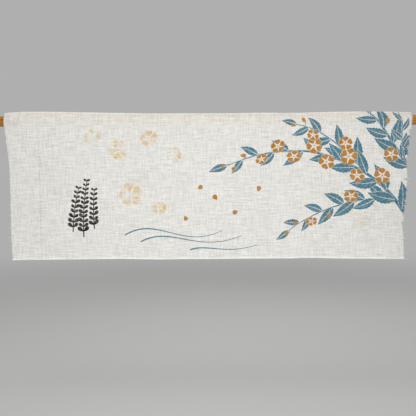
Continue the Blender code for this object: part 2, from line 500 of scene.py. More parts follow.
# a sprig's stem and leaves: the stem's leafy part in shares of its height, the angles in radians
SPRIG_STEPS = 12
SPRIG_BEND = 0.1
SPRIG_WIDTHS = (0.0026, 0.0016)
SPRIG_BARE_FOOT = 0.10
SPRIG_LEAFY = 0.86
SPRIG_LEAF = 0.0155
SPRIG_DWINDLE = 0.45
SPRIG_LEAF_BREADTH = 0.56
SPRIG_LEAF_SIZES = (0.85, 1.1)
SPRIG_SPREADS = (0.75, 1.0)
FAINT_BLOSSOMS = (
    # centre, width, turn, how far it faces the viewer
    (-0.252 + 0.264j, 0.036, 0.2, 0.9),
    (-0.196 + 0.236j, 0.043, 0.8, 1.0),
    (-0.128 + 0.262j, 0.040, 0.4, 0.8),
    (-0.074 + 0.226j, 0.035, 1.1, 0.9),
    (-0.172 + 0.140j, 0.052, 0.5, 1.0),
    (-0.108 + 0.112j, 0.034, 0.1, 0.8),
)

printed = []


def dye(outline, colour):
    """Lays one closed outline on the flat cloth, over what is already there."""
    printed.append((outline, DYES[colour]))


def rounded(places, steps=3):
    """More places on a smooth closed curve through the given ones."""
    count = len(places)
    found = []
    for here in range(count):
        a, b, c, d = (places[(here + away) % count] for away in (-1, 0, 1, 2))
        for step in range(steps):
            t = step / steps
            square = a - 2.5 * b + 2 * c - d / 2
            cube = 1.5 * (b - c) + (d - a) / 2
            found.append(b + t * (c - a) / 2 + t * t * square + t**3 * cube)
    return found


def curve_places(controls, count):
    """Even places along a curve with four control places."""
    flat = [Vector((place.real, place.imag)) for place in controls]
    return [complex(*place) for place in interpolate_bezier(*flat, count)]


def line(places, width_start, width_end, colour):
    """A brushed line along a row of places, which narrows evenly from one end to the other."""
    last = len(places) - 1
    left, right = [], []
    for here, place in enumerate(places):
        way = places[min(here + 1, last)] - places[max(here - 1, 0)]
        way /= abs(way)
        half = (width_start + (width_end - width_start) * here / last) / 2
        left.append(place + 1j * way * half)
        right.append(place - 1j * way * half)
    tip = places[-1] + (places[-1] - places[-2]) / abs(places[-1] - places[-2]) * width_end / 2
    dye(left + [tip] + right[::-1], colour)


def leaf(base, heading, length, bend):
    """A toothed leaf, bare along its midrib and side veins, and bare-rimmed against its neighbours."""
    half_width = LEAF_HALF_WIDTH * length
    before, after = LEAF_WIDEST, 1 - LEAF_WIDEST

    def at(share, side=0.0, grow=0.0):
        turned = heading + bend * share
        middle = length * (cmath.exp(1j * turned) - cmath.exp(1j * heading)) / (1j * bend)
        width = (share / before) ** (2 * before) * ((1 - share) / after) ** (2 * after) * half_width
        return base + middle + 1j * cmath.exp(1j * turned) * (side * width + math.copysign(grow, side))

    def edge(side, grow):
        found = []
        for tooth in range(LEAF_TEETH):
            share = (tooth + TOOTH_POINT) / LEAF_TEETH
            found.append(at(share, side * (TOOTH_REACH + TOOTH_UNEVEN * (tooth % 2)), grow))
            notch = min(share + NOTCH_AFTER / LEAF_TEETH, STEM_END)
            found.append(at(notch, side * NOTCH_REACH, grow))
        return found

    for grow, colour in ((BARE_RIM, "bare"), (0.0, "teal")):
        tip = at(1.0) + grow * 2 * cmath.exp(1j * (heading + bend))
        dye([at(0.0)] + edge(1, grow) + [tip] + edge(-1, grow)[::-1], colour)
    midrib = [at(step / MIDRIB_STEPS * MIDRIB_LENGTH) for step in range(MIDRIB_STEPS + 1)]
    line(midrib, *MIDRIB_WIDTHS, "bare")
    for vein in range(VEINS):
        share = VEIN_PITCH + VEIN_PITCH * vein
        root = [at(share), at(share + VEIN_WIDTH / length)]
        for side in (1, -1):
            dye(root + [at(share + VEIN_RUN, VEIN_REACH * side)], "bare")


def circle_places(radius, sides):
    """Even places round a circle about the middle of a blossom."""
    return [cmath.rect(radius, math.tau * side / sides) for side in range(sides)]


def blossom(centre, width, turn, facing, lean, colour):
    """Five broad notched petals with bare gaps, round a small eye with bare stamens."""
    radius = width / 2

    def lay(places, dye_name):
        turned = [place * cmath.exp(-1j * lean) for place in places]
        flat = [complex(place.real, place.imag * facing) for place in turned]
        dye([centre + place * cmath.exp(1j * lean) for place in flat], dye_name)

    if colour != "faint":
        lay(circle_places(radius * BARE_DISC, 16), "bare")
    half_angle = math.pi / PETALS
    for petal in range(PETALS):
        middle = turn + petal * 2 * half_angle
        left = [(radius * share, half_angle * side) for share, side in PETAL_EDGE]
        right = [(far, -side) for far, side in reversed(left[:-1])]
        outline = rounded([cmath.rect(far, middle + side) for far, side in left + right])
        if colour != "faint":
            lay([place + BARE_RIM * place / abs(place) for place in outline], "bare")
        lay(outline, colour)
        for stamen in STAMEN_PLACES:
            foot, far = middle + stamen * half_angle, STAMEN_TIP - STAMEN_SHORTER * abs(stamen)
            root = radius * STAMEN_ROOT
            root_left = cmath.rect(root, foot - STAMEN_HALF_ANGLE)
            root_right = cmath.rect(root, foot + STAMEN_HALF_ANGLE)
            lay([root_left, root_right, cmath.rect(radius * far, foot)], "bare")
    lay(circle_places(radius * EYE, 8), colour)


def drop(base, heading, length, broad, colour):
    """A bud or a loose petal: pointed where it grew, round at its far end."""
    way = length * cmath.exp(1j * heading)
    right = [(share, -side) for share, side in reversed(DROP_EDGE)]
    shares = [(0.0, 0.0), *DROP_EDGE, (1.0, 0.0), *right]
    dye(rounded([base + way * (share + 1j * side * broad / 2) for share, side in shares]), colour)


def stem_at(spray, share, out=0.0):
    """A place by a spray's stem and the stem's heading there."""
    a, b, c, d = SPRAYS[spray]
    rest = 1 - share
    way = 3 * (rest * rest * (b - a) + 2 * rest * share * (c - b) + share * share * (d - c))
    place = rest**3 * a + 3 * rest * rest * share * b + 3 * rest * share * share * c + share**3 * d
    way /= abs(way)
    return place + 1j * way * out, cmath.phase(way)


def grow_sprays(hand):
    """Each spray's stem, with its leaves to the right and the left by turns."""
    for spray, stem_width, leaves, first, longest in SPRAY_GROWTH:
        route = curve_places(SPRAYS[spray], CURVE_PLACES)
        line(route, stem_width + 2 * BARE_RIM, STEM_TIP + 2 * BARE_RIM, "bare")
        line(route, stem_width, STEM_TIP, "teal")
        for number in range(leaves):
            share = first + (1 - first) * number / (leaves - 1)
            side = 1 if number % 2 else -1
            foot, heading = stem_at(spray, min(share, STEM_END))
            length = longest * (1 - LEAF_DWINDLE * share) * hand.uniform(*LEAF_SIZES)
            closer = LAST_LEAF_SPREAD if number == leaves - 1 else 1
            spread = side * hand.uniform(*LEAF_SPREADS) * closer
            leaf(foot, heading + spread, length, -side * hand.uniform(*LEAF_BENDS))


def set_buds():
    """The buds, each in its cup on a short stalk. One that stands well aside turns with its stalk."""
    for spray, share, out, length in BUDS:
        foot, heading = stem_at(spray, min(share, BUD_STALK_END))
        base, _ = stem_at(spray, min(share + BUD_STALK_AHEAD, 1.0), out)
        line([foot, (foot + base) / 2 + 1j * BUD_STALK_ARCH, base], *BUD_STALK, "teal")
        way = heading
        if abs(out) > BUD_ASIDE:
            way = cmath.phase(base - foot) * 0.5 + heading * 0.5
        cup = base - BUD_CUP_DEPTH * cmath.exp(1j * way)
        drop(cup, way, length * BUD_CUP_LENGTH, BUD_CUP_BREADTH, "olive")
        drop(base, way, length, BUD_BREADTH, "ochre")


def set_blossoms(hand):
    """The blossoms, each on a short stalk."""
    for spray, share, out, width, turn, facing in BLOSSOMS:
        foot, heading = stem_at(spray, share - BLOSSOM_STALK_BEHIND)
        centre, _ = stem_at(spray, share, out)
        line([foot, (foot + centre) / 2, centre], *BLOSSOM_STALK, "teal")
        blossom(centre, width, turn, facing, heading + hand.uniform(*BLOSSOM_LEANS), "ochre")


def raise_sprigs(hand):
    """The dark sprigs: a bent stem with small leaves in pairs, which dwindle towards its tip."""
    for foot, height, lean, pairs in INK_SPRIGS:
        way = 1j * cmath.exp(-1j * lean)
        route = [
            foot + way * height * step / SPRIG_STEPS * cmath.exp(-1j * SPRIG_BEND * step / SPRIG_STEPS)
            for step in range(SPRIG_STEPS + 1)
        ]
        line(route, *SPRIG_WIDTHS, "ink")
        for pair in range(pairs):
            share = SPRIG_BARE_FOOT + SPRIG_LEAFY * pair / (pairs - 1)
            base = foot + way * height * share * cmath.exp(-1j * SPRIG_BEND * share)
            upright = math.pi / 2 - lean - SPRIG_BEND * share
            for side in (1, -1):
                length = SPRIG_LEAF * (1 - SPRIG_DWINDLE * share) * hand.uniform(*SPRIG_LEAF_SIZES)
                spread = side * hand.uniform(*SPRIG_SPREADS)
                drop(base, upright + spread, length, SPRIG_LEAF_BREADTH, "ink")


def draw_pattern():
    """Dyes the whole cloth, from what lies lowest to what lies on top."""
    hand = random.Random(7)
    for controls in WATER:
        line(curve_places(controls, CURVE_PLACES), *WATER_WIDTHS, "teal")
    grow_sprays(hand)
    set_buds()
    set_blossoms(hand)
    for place, length, heading in LOOSE_PETALS:
        drop(place, heading, length, LOOSE_PETAL_BREADTH, "ochre")
    for centre, width, turn, facing in FAINT_BLOSSOMS:
        blossom(centre, width, turn, facing, turn, "faint")
    raise_sprigs(hand)


draw_pattern()

# The towel. One length of slubby plain-woven cotton, with a selvage along both long edges and a raw cut
# at both ends. It is laid out flat with its pattern, and then hung over the rod.

COLUMN_STEPS = (
    # from, to, step along the towel
    (-0.440, -0.380, 0.0024),
    (-0.380, -0.364, 0.0008),
    (-0.364, -0.300, 0.0040),
    (-0.300, 0.380, 0.0056),
    (0.380, 0.440, 0.0030),
)
ROW_STEPS = (
    # from, to, step away from the crest, front positive
    (-0.043, -0.026, 0.0042),
    (-0.026, -0.003, 0.0020),
    (-0.003, 0.003, 0.0005),
    (0.003, 0.027, 0.0018),
    (0.027, 0.327, 0.0055),
)
END_STEP = 0.0010
LEFT_RAVEL = 0.0012
RIGHT_RAVEL = 0.0023
RAVEL_MEAN = 0.4
RAVEL_WANDER = (
    # rate along the cut, how far apart the ends and the rows read the noise, strength
    (70, 11.0, 0.0, 0.5),
    (240, 7.0, 0.0, 0.6),
    (900, 3.0, 5.0, 0.5),
)
DEEPEST_NICK = 0.0085
RIGHT_TEETH = (
    # right raw end: across the cut at a tooth's point, run of the slope under it, depth of its nick
    (0.3010, 0.010, 0.0014),
    (0.2824, 0.015, 0.0018),
    (0.2645, 0.012, 0.0014),
    (0.2443, 0.012, 0.0030),
    (0.2290, 0.010, 0.0014),
    (0.2124, 0.010, 0.0032),
    (0.2010, 0.008, 0.0014),
    (0.1904, 0.008, 0.0020),
    (0.1761, 0.008, 0.0062),
    (0.1600, 0.009, 0.0016),
    (0.1480, 0.010, 0.0014),
    (0.1295, 0.009, 0.0024),
    (0.1180, 0.006, 0.0040),
    (0.1023, 0.010, 0.0026),
    (0.0812, 0.012, 0.0054),
    (0.0700, 0.011, 0.0026),
    (0.0590, 0.010, 0.0014),
    (0.0436, 0.010, 0.0030),
    (0.0335, 0.010, 0.0024),
    (0.0225, 0.010, 0.0012),
    (0.0120, 0.008, 0.0010),
)
CLEAR_OF_HEM = 0.002
CLEAR_OF_TOP = 0.001
MERGE_WITHIN = 1e-5
NORMAL_STEP = 0.0001
BAKE_MARGIN = 0.01
BAKE_SCALE = (1 - 2 * BAKE_MARGIN) / CUT_LENGTH
BACK_SHIFT = 0.50
RIM_SHIFT = 0.0006


def stations(table):
    """Places in rows of even steps, by a table of from, to and step."""
    found = []
    for start, end, step in table:
        count = round((end - start) / step)
        found += [start + (end - start) * here / count for here in range(count)]
    return found


def end_x(end, across):
    """Where the raw cut lies, at a height on the flat cut: it wanders, and single yarns are pulled out."""
    ravelled = RAVEL_MEAN
    for rate, end_apart, row_apart, strength in RAVEL_WANDER:
        ravelled += strength * noise.noise(Vector((across * rate, end * end_apart, row_apart)))
    ravelled = max(ravelled, 0.0)
    if end < 0:
        return LEFT_RAVEL * ravelled - CUT_LENGTH / 2
    nicks = [nick * (1 - (point - across) / run) for point, run, nick in RIGHT_TEETH if across < point]
    return CUT_LENGTH / 2 - RIGHT_RAVEL * ravelled - max([0.0, *nicks])


def raw_end(end):
    """The raw cut from its lower to its upper selvage."""
    count = round(CUT_WIDTH / END_STEP)
    rows = [CUT_WIDTH * step / count for step in range(count + 1)]
    return [complex(end_x(end, across), across) for across in rows]


def inside(outline, spots):
    """Which of the spots lie within a closed outline."""
    found = numpy.zeros(len(spots), bool)
    for start, end in zip(outline, outline[1:] + outline[:1]):
        if start.imag == end.imag:
            continue
        level = (start.imag > spots.imag) != (end.imag > spots.imag)
        slant = (end.real - start.real) / (end.imag - start.imag)
        found ^= level & (spots.real < start.real + (spots.imag - start.imag) * slant)
    return found


def dyes_at(spots):
    """The dye that lies on top at each spot, as a row of its four amounts."""
    found = numpy.tile(DYES["bare"], (len(spots), 1))
    for outline, amounts in printed:
        left, right = min(p.real for p in outline), max(p.real for p in outline)
        low, high = min(p.imag for p in outline), max(p.imag for p in outline)
        near = (spots.real > left) & (spots.real < right) & (spots.imag > low) & (spots.imag < high)
        near = numpy.flatnonzero(near)
        found[near[inside(outline, spots[near])]] = amounts
    return found


def flat_cloth():
    """The flat cut in triangles that follow every dyed outline: their corners, and each one's dye."""
    inner = [x for x in stations(COLUMN_STEPS) if abs(x) < CUT_LENGTH / 2 - DEEPEST_NICK]
    lower = [complex(x, 0) for x in inner]
    upper = [complex(x, CUT_WIDTH) for x in reversed(inner)]
    places = lower + raw_end(1) + upper + raw_end(-1)[::-1]
    cut_edge = list(range(len(places)))
    edges = []
    for outline, _ in printed:
        first, count = len(places), len(outline)
        edges += [(first + here, first + (here + 1) % count) for here in range(count)]
        places += outline
    for x in inner:
        hem = hem_distance(x)
        across = [hem - far for far in stations(ROW_STEPS)]
        places += [complex(x, up) for up in across if CLEAR_OF_HEM < up < CUT_WIDTH - CLEAR_OF_TOP]
    flat = [Vector((place.real, place.imag)) for place in places]
    corners, _, triangles, _, _, covers = delaunay_2d_cdt(flat, edges, [cut_edge], 0, MERGE_WITHIN, True)
    triangles = [triangle for triangle, cover in zip(triangles, covers) if cover]
    spots = [sum((corners[corner] for corner in triangle), Vector((0, 0))) / 3 for triangle in triangles]
    return corners, triangles, dyes_at(numpy.array([complex(*spot) for spot in spots]))


def bake_place(x, across, face_kind):
    """Where a spot of the cloth lies in the bake: the front below, the back above, the rim outside."""
    if face_kind == "rim":
        if across < RIM_SHIFT:
            across -= RIM_SHIFT
        elif across > CUT_WIDTH - RIM_SHIFT:
            across += RIM_SHIFT
        else:
            x += math.copysign(RIM_SHIFT, x)
    lift = BACK_SHIFT if face_kind == "back" else 0.0
    return (x + CUT_LENGTH / 2) * BAKE_SCALE + BAKE_MARGIN, across * BAKE_SCALE + BAKE_MARGIN + lift


def inner_side(x, distance):
    """The place on the side that faces the rod, straight through the cloth from a place on its outside."""
    outside = towel_point(x, distance)
    along = towel_point(x + NORMAL_STEP, distance) - outside
    down = towel_point(x, distance + NORMAL_STEP) - outside
    return outside + along.cross(down).normalized() * CLOTH_THICKNESS


def hang_towel():
    """Hangs the flat cloth over the rod, gives it its thickness and lays out its faces for baking."""
    corners, triangles, dyed = flat_cloth()
    shape = bmesh.new()
    cut_place = shape.verts.layers.float_vector.new("cut_place")
    dyes = shape.loops.layers.float_color.new("dyes")
    bake = shape.loops.layers.uv.new("OFBake")
    points = []
    for x, across in corners:
        distance = hem_distance(x) - across
        point = shape.verts.new(towel_point(x, distance))
        point[cut_place] = (x, across, distance)
        points.append(point)
    for triangle, amounts in zip(triangles, dyed):
        face = shape.faces.new([points[corner] for corner in triangle])
        face.smooth = True
        for loop in face.loops:
            loop[dyes] = amounts
    stray = [point for point in shape.verts if not point.link_faces]
    bmesh.ops.delete(shape, geom=stray, context="VERTS")
    front = set(shape.faces)
    front_points = set(shape.verts)
    doubled = bmesh.ops.solidify(shape, geom=shape.faces[:], thickness=CLOTH_THICKNESS)
    back = {part for part in doubled["geom"] if isinstance(part, bmesh.types.BMFace)}
    for point in {point for face in back for point in face.verts}:
        x, _, distance = point[cut_place]
        point.co = inner_side(x, distance)
    for face in shape.faces:
        for loop in face.loops:
            x, across, _ = loop.vert[cut_place]
            kind = "front" if face in front else "back" if face in back else "rim"
            if kind == "rim" and loop.vert in front_points:
                kind = "front"
            loop[bake].uv = bake_place(x, across, kind)
    return shape


YARN_PITCH = 0.00048
YARN_WANDER = 0.0007
YARN_WANDER_RATE = 240.0
GAP_SHADE = 0.30
SLUB_HEIGHT = 0.8
SLUB_SIZES = (
    # shortest repeat along x, shortest repeat across, how much it lightens and darkens
    (0.036, 0.0030, 0.42),
    (0.0030, 0.032, 0.35),
    (0.0028, 0.0025, 0.28),
    (0.015, 0.0012, 0.24),
    (0.0012, 0.015, 0.20),
    (0.090, 0.070, 0.05),
)
STAINS = (
    # along and across the flat cut, radius, strength
    (0.318, 0.114, 0.034, 0.50),
    (0.350, 0.082, 0.026, 0.60),
    (0.275, 0.150, 0.024, 0.30),
    (-0.150, 0.175, 0.030, 0.25),
    (-0.330, 0.165, 0.080, 0.10),
)
STAIN_RIM_REPEAT = 0.011
STAIN_RIM_STRAY = 1.1
STAIN_RIM_SOFT = 0.5
COTTON = (0.800, 0.790, 0.750, 1)
TEAL = (0.070, 0.200, 0.268, 1)
OCHRE = (0.486, 0.213, 0.026, 1)
INK = (0.026, 0.020, 0.017, 1)
GHOST_OCHRE = (0.740, 0.560, 0.310, 1)
STAIN = (0.720, 0.650, 0.530, 1)
DYE_REPEAT = 0.010
DYE_UNEVEN = 0.34
DYE_LEAST = 0.80
WORN_REPEATS = (0.024, 0.020)
WORN_RANGE = (0.30, 0.66)
# painted light: a warm glow of the rod, painted on the cloth in a band below the crest, as if it shone
# through the thin cotton
ROD_PAINTED_GLOW = (0.985, 0.955, 0.910, 1)
ROD_GLOW_BAND = (0.016, 0.042)
SELVAGE_WIDTH = 0.0032
SELVAGE_FADE = 1.4
SELVAGE_GAIN = (1.15, 1.15, 1.16, 1)
# painted shade: the cloth is painted darker in a narrow line along the crease, which follows the crease
# where it strays lower down
CREASE_PAINTED_SHADE = (0.940, 0.930, 0.910, 1)
CREASE_SHADE_SPREAD = 1.4
# painted highlight: the cloth is painted lighter along the fold's crest, where the light from above catches
# it
CREST_HIGHLIGHT_WIDTH = 0.0052
CREST_HIGHLIGHT_CORE = 0.4
CREST_PAINTED_HIGHLIGHT = (1.17, 1.17, 1.16, 1)
# about the length of cloth from the crest to the level of the rod's axis, at the crease
BEND_LENGTH = 0.0243


def blend(tree, kind, amount, first, second):
    """Two colours mixed by an amount."""
    node = put_node(
        tree, "ShaderNodeMix", {"Factor": amount, 6: first, 7: second}, data_type="RGBA", blend_type=kind
    )
    return node.outputs[2]


def flat_noise(tree, place, repeat_x, repeat_across, detail=2.0):
    """Soft chance unevenness on the flat cut, 0 to 1, with its own length each way."""
    stretched = put_node(
        tree, "ShaderNodeMapping", {"Vector": place, "Scale": (1 / repeat_x, 1 / repeat_across, 0)}
    ).outputs[0]
    inputs = {"Vector": stretched, "Scale": 1.0, "Detail": detail, "Roughness": 0.6}
    return put_node(tree, "ShaderNodeTexNoise", inputs, noise_dimensions="2D").outputs["Fac"]


def fade(tree, value, low, high):
    """0 to 1 as a value goes from low to high, with soft ends."""
    inputs = {"Value": value, "From Min": low, "From Max": high}
    return put_node(tree, "ShaderNodeMapRange", inputs, interpolation_type="SMOOTHSTEP").outputs[0]


def fade_out(tree, value, low, high):
    """1 to 0 as a value goes from low to high, with soft ends."""
    return maths(tree, "SUBTRACT", 1.0, fade(tree, value, low, high))


def plain_weave():
    """Node group: how high the yarns stand and how open the gaps are, at a place on the flat cut."""
    group = bpy.data.node_groups.new("plain_weave", "ShaderNodeTree")
    group.interface.new_socket("Place", in_out="INPUT", socket_type="NodeSocketVector")
    group.interface.new_socket("Pitch", in_out="INPUT", socket_type="NodeSocketFloat")
    group.interface.new_socket("Height", in_out="OUTPUT", socket_type="NodeSocketFloat")
    group.interface.new_socket("Gap", in_out="OUTPUT", socket_type="NodeSocketFloat")
    place = group.nodes.new("NodeGroupInput").outputs["Place"]
    pitch = group.nodes["Group Input"].outputs["Pitch"]
    inputs = {"Vector": place, "Scale": YARN_WANDER_RATE, "Detail": 1.0}
    wander = put_node(group, "ShaderNodeTexNoise", inputs).outputs["Color"]
    inputs = {0: wander, 1: (YARN_WANDER, YARN_WANDER, 0), 2: place}
    moved = put_node(group, "ShaderNodeVectorMath", inputs, operation="MULTIPLY_ADD").outputs[0]
    parts = put_node(group, "ShaderNodeSeparateXYZ", {0: moved}).outputs
    turn = maths(group, "DIVIDE", math.pi, pitch)
    weft = maths(group, "COSINE", maths(group, "MULTIPLY", parts["X"], turn))
    warp = maths(group, "COSINE", maths(group, "MULTIPLY", parts["Y"], turn))
    crossing = maths(group, "MULTIPLY", weft, warp)
    round_warp = maths(group, "ABSOLUTE", warp)
    round_weft = maths(group, "ABSOLUTE", weft)
    over = maths(group, "ADD", round_warp, crossing)
    under = maths(group, "SUBTRACT", round_weft, crossing)
    height = maths(group, "MULTIPLY", maths(group, "MAXIMUM", over, under), 0.5)
    beside_warp = maths(group, "SUBTRACT", 1.0, round_warp)
    beside_weft = maths(group, "SUBTRACT", 1.0, round_weft)
    gap = maths(group, "MULTIPLY", beside_warp, beside_weft)
    put_node(group, "NodeGroupOutput", {"Height": height, "Gap": gap})
    return group


def with_stains(tree, place, cloth):
    """The cloth's colour with its faint ragged stains."""
    for x, across, radius, strength in STAINS:
        inputs = {0: place, 1: (1, 1, 0), 2: (-x, -across, 0)}
        away = put_node(tree, "ShaderNodeVectorMath", inputs, operation="MULTIPLY_ADD").outputs[0]
        far = put_node(tree, "ShaderNodeVectorMath", {0: away}, operation="LENGTH").outputs["Value"]
        rim = flat_noise(tree, place, STAIN_RIM_REPEAT, STAIN_RIM_REPEAT, 4.0)
        ragged = maths(tree, "MULTIPLY_ADD", rim, -STAIN_RIM_STRAY * radius, far)
        mask = fade_out(tree, ragged, -STAIN_RIM_SOFT * radius, STAIN_RIM_SOFT * radius)
        cloth = blend(tree, "MIX", maths(tree, "MULTIPLY", mask, strength), cloth, STAIN)
    return cloth


def with_selvage_and_painted_light(tree, parts, cloth):
    """The cloth's colour, paler at its selvages, with painted light: a painted warm glow of the rod through
    the cloth, a painted highlight on its crest and painted shade along its crease.
    """
    from_crest = maths(tree, "ABSOLUTE", parts["Z"])
    # painted glow of the rod through the cloth, in a band below the crest
    cloth = blend(tree, "MULTIPLY", fade_out(tree, from_crest, *ROD_GLOW_BAND), cloth, ROD_PAINTED_GLOW)
    # painted highlight along the fold's crest
    on_crest_highlight = fade_out(tree, from_crest, CREST_HIGHLIGHT_CORE * CREST_HIGHLIGHT_WIDTH, CREST_HIGHLIGHT_WIDTH)
    cloth = blend(tree, "MULTIPLY", on_crest_highlight, cloth, CREST_PAINTED_HIGHLIGHT)
    from_middle = maths(tree, "ABSOLUTE", maths(tree, "SUBTRACT", parts["Y"], CUT_WIDTH / 2))
    selvage_from = CUT_WIDTH / 2 - SELVAGE_FADE * SELVAGE_WIDTH
    by_selvage = fade(tree, from_middle, selvage_from, CUT_WIDTH / 2 - SELVAGE_WIDTH)
    cloth = blend(tree, "MULTIPLY", by_selvage, cloth, SELVAGE_GAIN)
    # painted shade along the crease
    stray_from = CREASE_STRAY_FROM + BEND_LENGTH
    stray = fade(tree, parts["Z"], stray_from, stray_from + CREASE_STRAY_TO - CREASE_STRAY_FROM)
    off_fold = maths(tree, "SUBTRACT", parts["X"], CREASE_X)
    off_fold = maths(tree, "ABSOLUTE", maths(tree, "MULTIPLY_ADD", stray, CREASE_STRAY, off_fold))
    on_fold_shade = fade_out(tree, off_fold, 0.0, CREASE_SHADE_SPREAD * CREASE_HALF_WIDTH)
    return blend(tree, "MULTIPLY", on_fold_shade, cloth, CREASE_PAINTED_SHADE)


def with_dyes(tree, place, cloth):
    """The cloth's colour under its dyes, which soaked in unevenly, the faint one worn off in patches."""
    amounts = put_node(tree, "ShaderNodeAttribute", attribute_name="dyes")
    dyes = put_node(tree, "ShaderNodeSeparateColor", {"Color": amounts.outputs["Color"]}).outputs
    uneven = flat_noise(tree, place, DYE_REPEAT, DYE_REPEAT, 3.0)
    soaked = maths(tree, "MULTIPLY_ADD", uneven, DYE_UNEVEN, DYE_LEAST)
    worn = fade(tree, flat_noise(tree, place, *WORN_REPEATS, 4.0), *WORN_RANGE)
    for source, strength, colour in (
        (amounts.outputs["Alpha"], worn, GHOST_OCHRE),
        (dyes["Green"], soaked, OCHRE),
        (dyes["Red"], soaked, TEAL),
        (dyes["Blue"], soaked, INK),
    ):
        amount = put_node(
            tree, "ShaderNodeMath", {0: source, 1: strength}, operation="MULTIPLY", use_clamp=True
        ).outputs[0]
        cloth = blend(tree, "MIX", amount, cloth, colour)
    return cloth


def dyed_cotton():
    """Slubby plain weave in the cloth's own colour, with its stains, paler selvages and dyes, and with
    painted shade in the weave's gaps and along the crease, a painted highlight on the crest and a painted
    glow of the rod.
    """
    finish, tree, shader = new_finish("dyed_cotton")
    place = put_node(tree, "ShaderNodeAttribute", attribute_name="cut_place").outputs["Vector"]
    parts = put_node(tree, "ShaderNodeSeparateXYZ", {0: place}).outputs
    weave = put_node(tree, "ShaderNodeGroup", {"Place": place, "Pitch": YARN_PITCH}, node_tree=plain_weave())
    slub = 1.0
    for repeat_x, repeat_across, amount in SLUB_SIZES:
        uneven = flat_noise(tree, place, repeat_x, repeat_across)
        uneven = maths(tree, "SUBTRACT", uneven, 0.5)
        slub = maths(tree, "MULTIPLY_ADD", uneven, amount, slub)
    cloth = with_dyes(tree, place, with_selvage_and_painted_light(tree, parts, with_stains(tree, place, COTTON)))
    # the yarns' own uneven tone, times a painted shade in the gaps between the yarns
    tone_and_gap_shade = maths(tree, "MULTIPLY_ADD", weave.outputs["Gap"], -GAP_SHADE, slub)
    colour = put_node(tree, "ShaderNodeVectorMath", {0: cloth, "Scale": tone_and_gap_shade}, operation="SCALE").outputs[0]
    tree.links.new(colour, shader.inputs["Base Color"])

    height = maths(tree, "MULTIPLY_ADD", slub, SLUB_HEIGHT, weave.outputs["Height"])
    bump = put_node(tree, "ShaderNodeBump", {"Strength": 0.5, "Distance": 0.00012, "Height": height})
    tree.links.new(bump.outputs["Normal"], shader.inputs["Normal"])
    shader.inputs["Roughness"].default_value = 0.9
    shader.inputs["Specular IOR Level"].default_value = 0.25
    shader.inputs["Sheen Weight"].default_value = 0.12
    shader.inputs["Sheen Roughness"].default_value = 0.45
    return finish


towel_finish = dyed_cotton()
towel = keep_piece("tenugui_towel", hang_towel(), towel_finish)
towel.data.set_sharp_from_angle(angle=math.radians(50))
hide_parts("towel")

# The frayed ends. Nothing binds the two raw cuts, so the last wefts have worked loose and the warp yarns
# stand out past them as short soft tufts. A few ends hang free as longer threads.

FRAY_PITCH = 0.00044
FRAY_ROOT = 0.0015
FRAY_SHORT = 0.0004
FRAY_LONG = {-1: 0.0011, 1: 0.0030}
FRAY_DROOP = 0.35
# the lowest and highest of each chance draw for a yarn's end
FRAY_LENGTHS = (0.75, 1.15)
FRAY_LEANS = (-0.12, 0.12)
FRAY_SIDEWAYS = (-0.25, 0.25)
FRAY_CURLS = (-0.1, 0.3)
FRAY_STEPS = 2
GATHER_RATE = 150
GATHER_SWING = 0.9
GATHER_REACH = 0.0010
GATHER_LEAN = 2.2
# how far in and how far down the cloth is read to aim a yarn
AIM_BACK = 0.004
AIM_DOWN = 0.002
YARN_RADIUS = 0.00022
THREAD_RADIUS = 0.00032
YARN_SIDES = 4
YARN_TAPER = 0.45
TUFT_SPREAD = 1.6
TUFT_GAIN = 1.4
TUFT_FAN = 0.6
TUFT_LENGTHS = (0.85, 1.1)
TUFTS = (
    # end, across the cut, half width of the tuft, how far it stands out
    (-1, 0.2730, 0.0016, 0.0054),
    (-1, 0.2555, 0.0021, 0.0048),
    (-1, 0.2395, 0.0021, 0.0044),
    (-1, 0.2265, 0.0019, 0.0044),
    (-1, 0.1377, 0.0014, 0.0022),
    (-1, 0.0986, 0.0014, 0.0024),
    (-1, 0.0811, 0.0014, 0.0022),
    (-1, 0.0419, 0.0016, 0.0032),
    *((1, point + 0.0008, 0.0014, 0.0012 + 0.40 * nick) for point, _, nick in RIGHT_TEETH),
)
LOOSE_THREADS = (
    # end, across the cut, length, angle below level where it leaves, how much it turns downwards
    (-1, 0.2112, 0.0185, 0.6, -1.1),
    (-1, 0.1962, 0.0150, 1.3, -1.0),
    (-1, 0.1120, 0.0060, 0.2, 0.8),
    (-1, 0.0690, 0.0110, -0.1, 0.4),
    (-1, 0.0490, 0.0130, -0.2, 0.6),
    (1, 0.2300, 0.0060, -0.3, 0.9),
    (1, 0.1674, 0.0125, 0.5, -0.3),
    (1, 0.0940, 0.0050, -0.6, 1.0),
    (1, 0.0174, 0.0120, 0.5, 0.2),
    (1, 0.0020, 0.0110, 0.6, -0.2),
)
THREAD_SIDEWAYS = (-0.15, 0.15)
THREAD_STEPS = 9


def fray_route(end, across, length, sideways, lean, curl, steps):
    """Places along a yarn, from inside the cloth's raw end outwards."""
    edge_x = end_x(end, across) - end * FRAY_ROOT
    distance = hem_distance(edge_x) - across
    root = towel_point(edge_x, distance)
    out = (root - towel_point(edge_x - end * AIM_BACK, distance)).normalized()
    along_edge = (towel_point(edge_x, distance + AIM_DOWN) - root).normalized()
    side = out.cross(along_edge)
    route = [root, root + out * FRAY_ROOT]
    for step in range(steps):
        angle = lean + curl * (step + 1) / steps
        way = out * math.cos(angle) + along_edge * math.sin(angle) + side * sideways
        route.append(route[-1] + way.normalized() * length / steps)
    return route


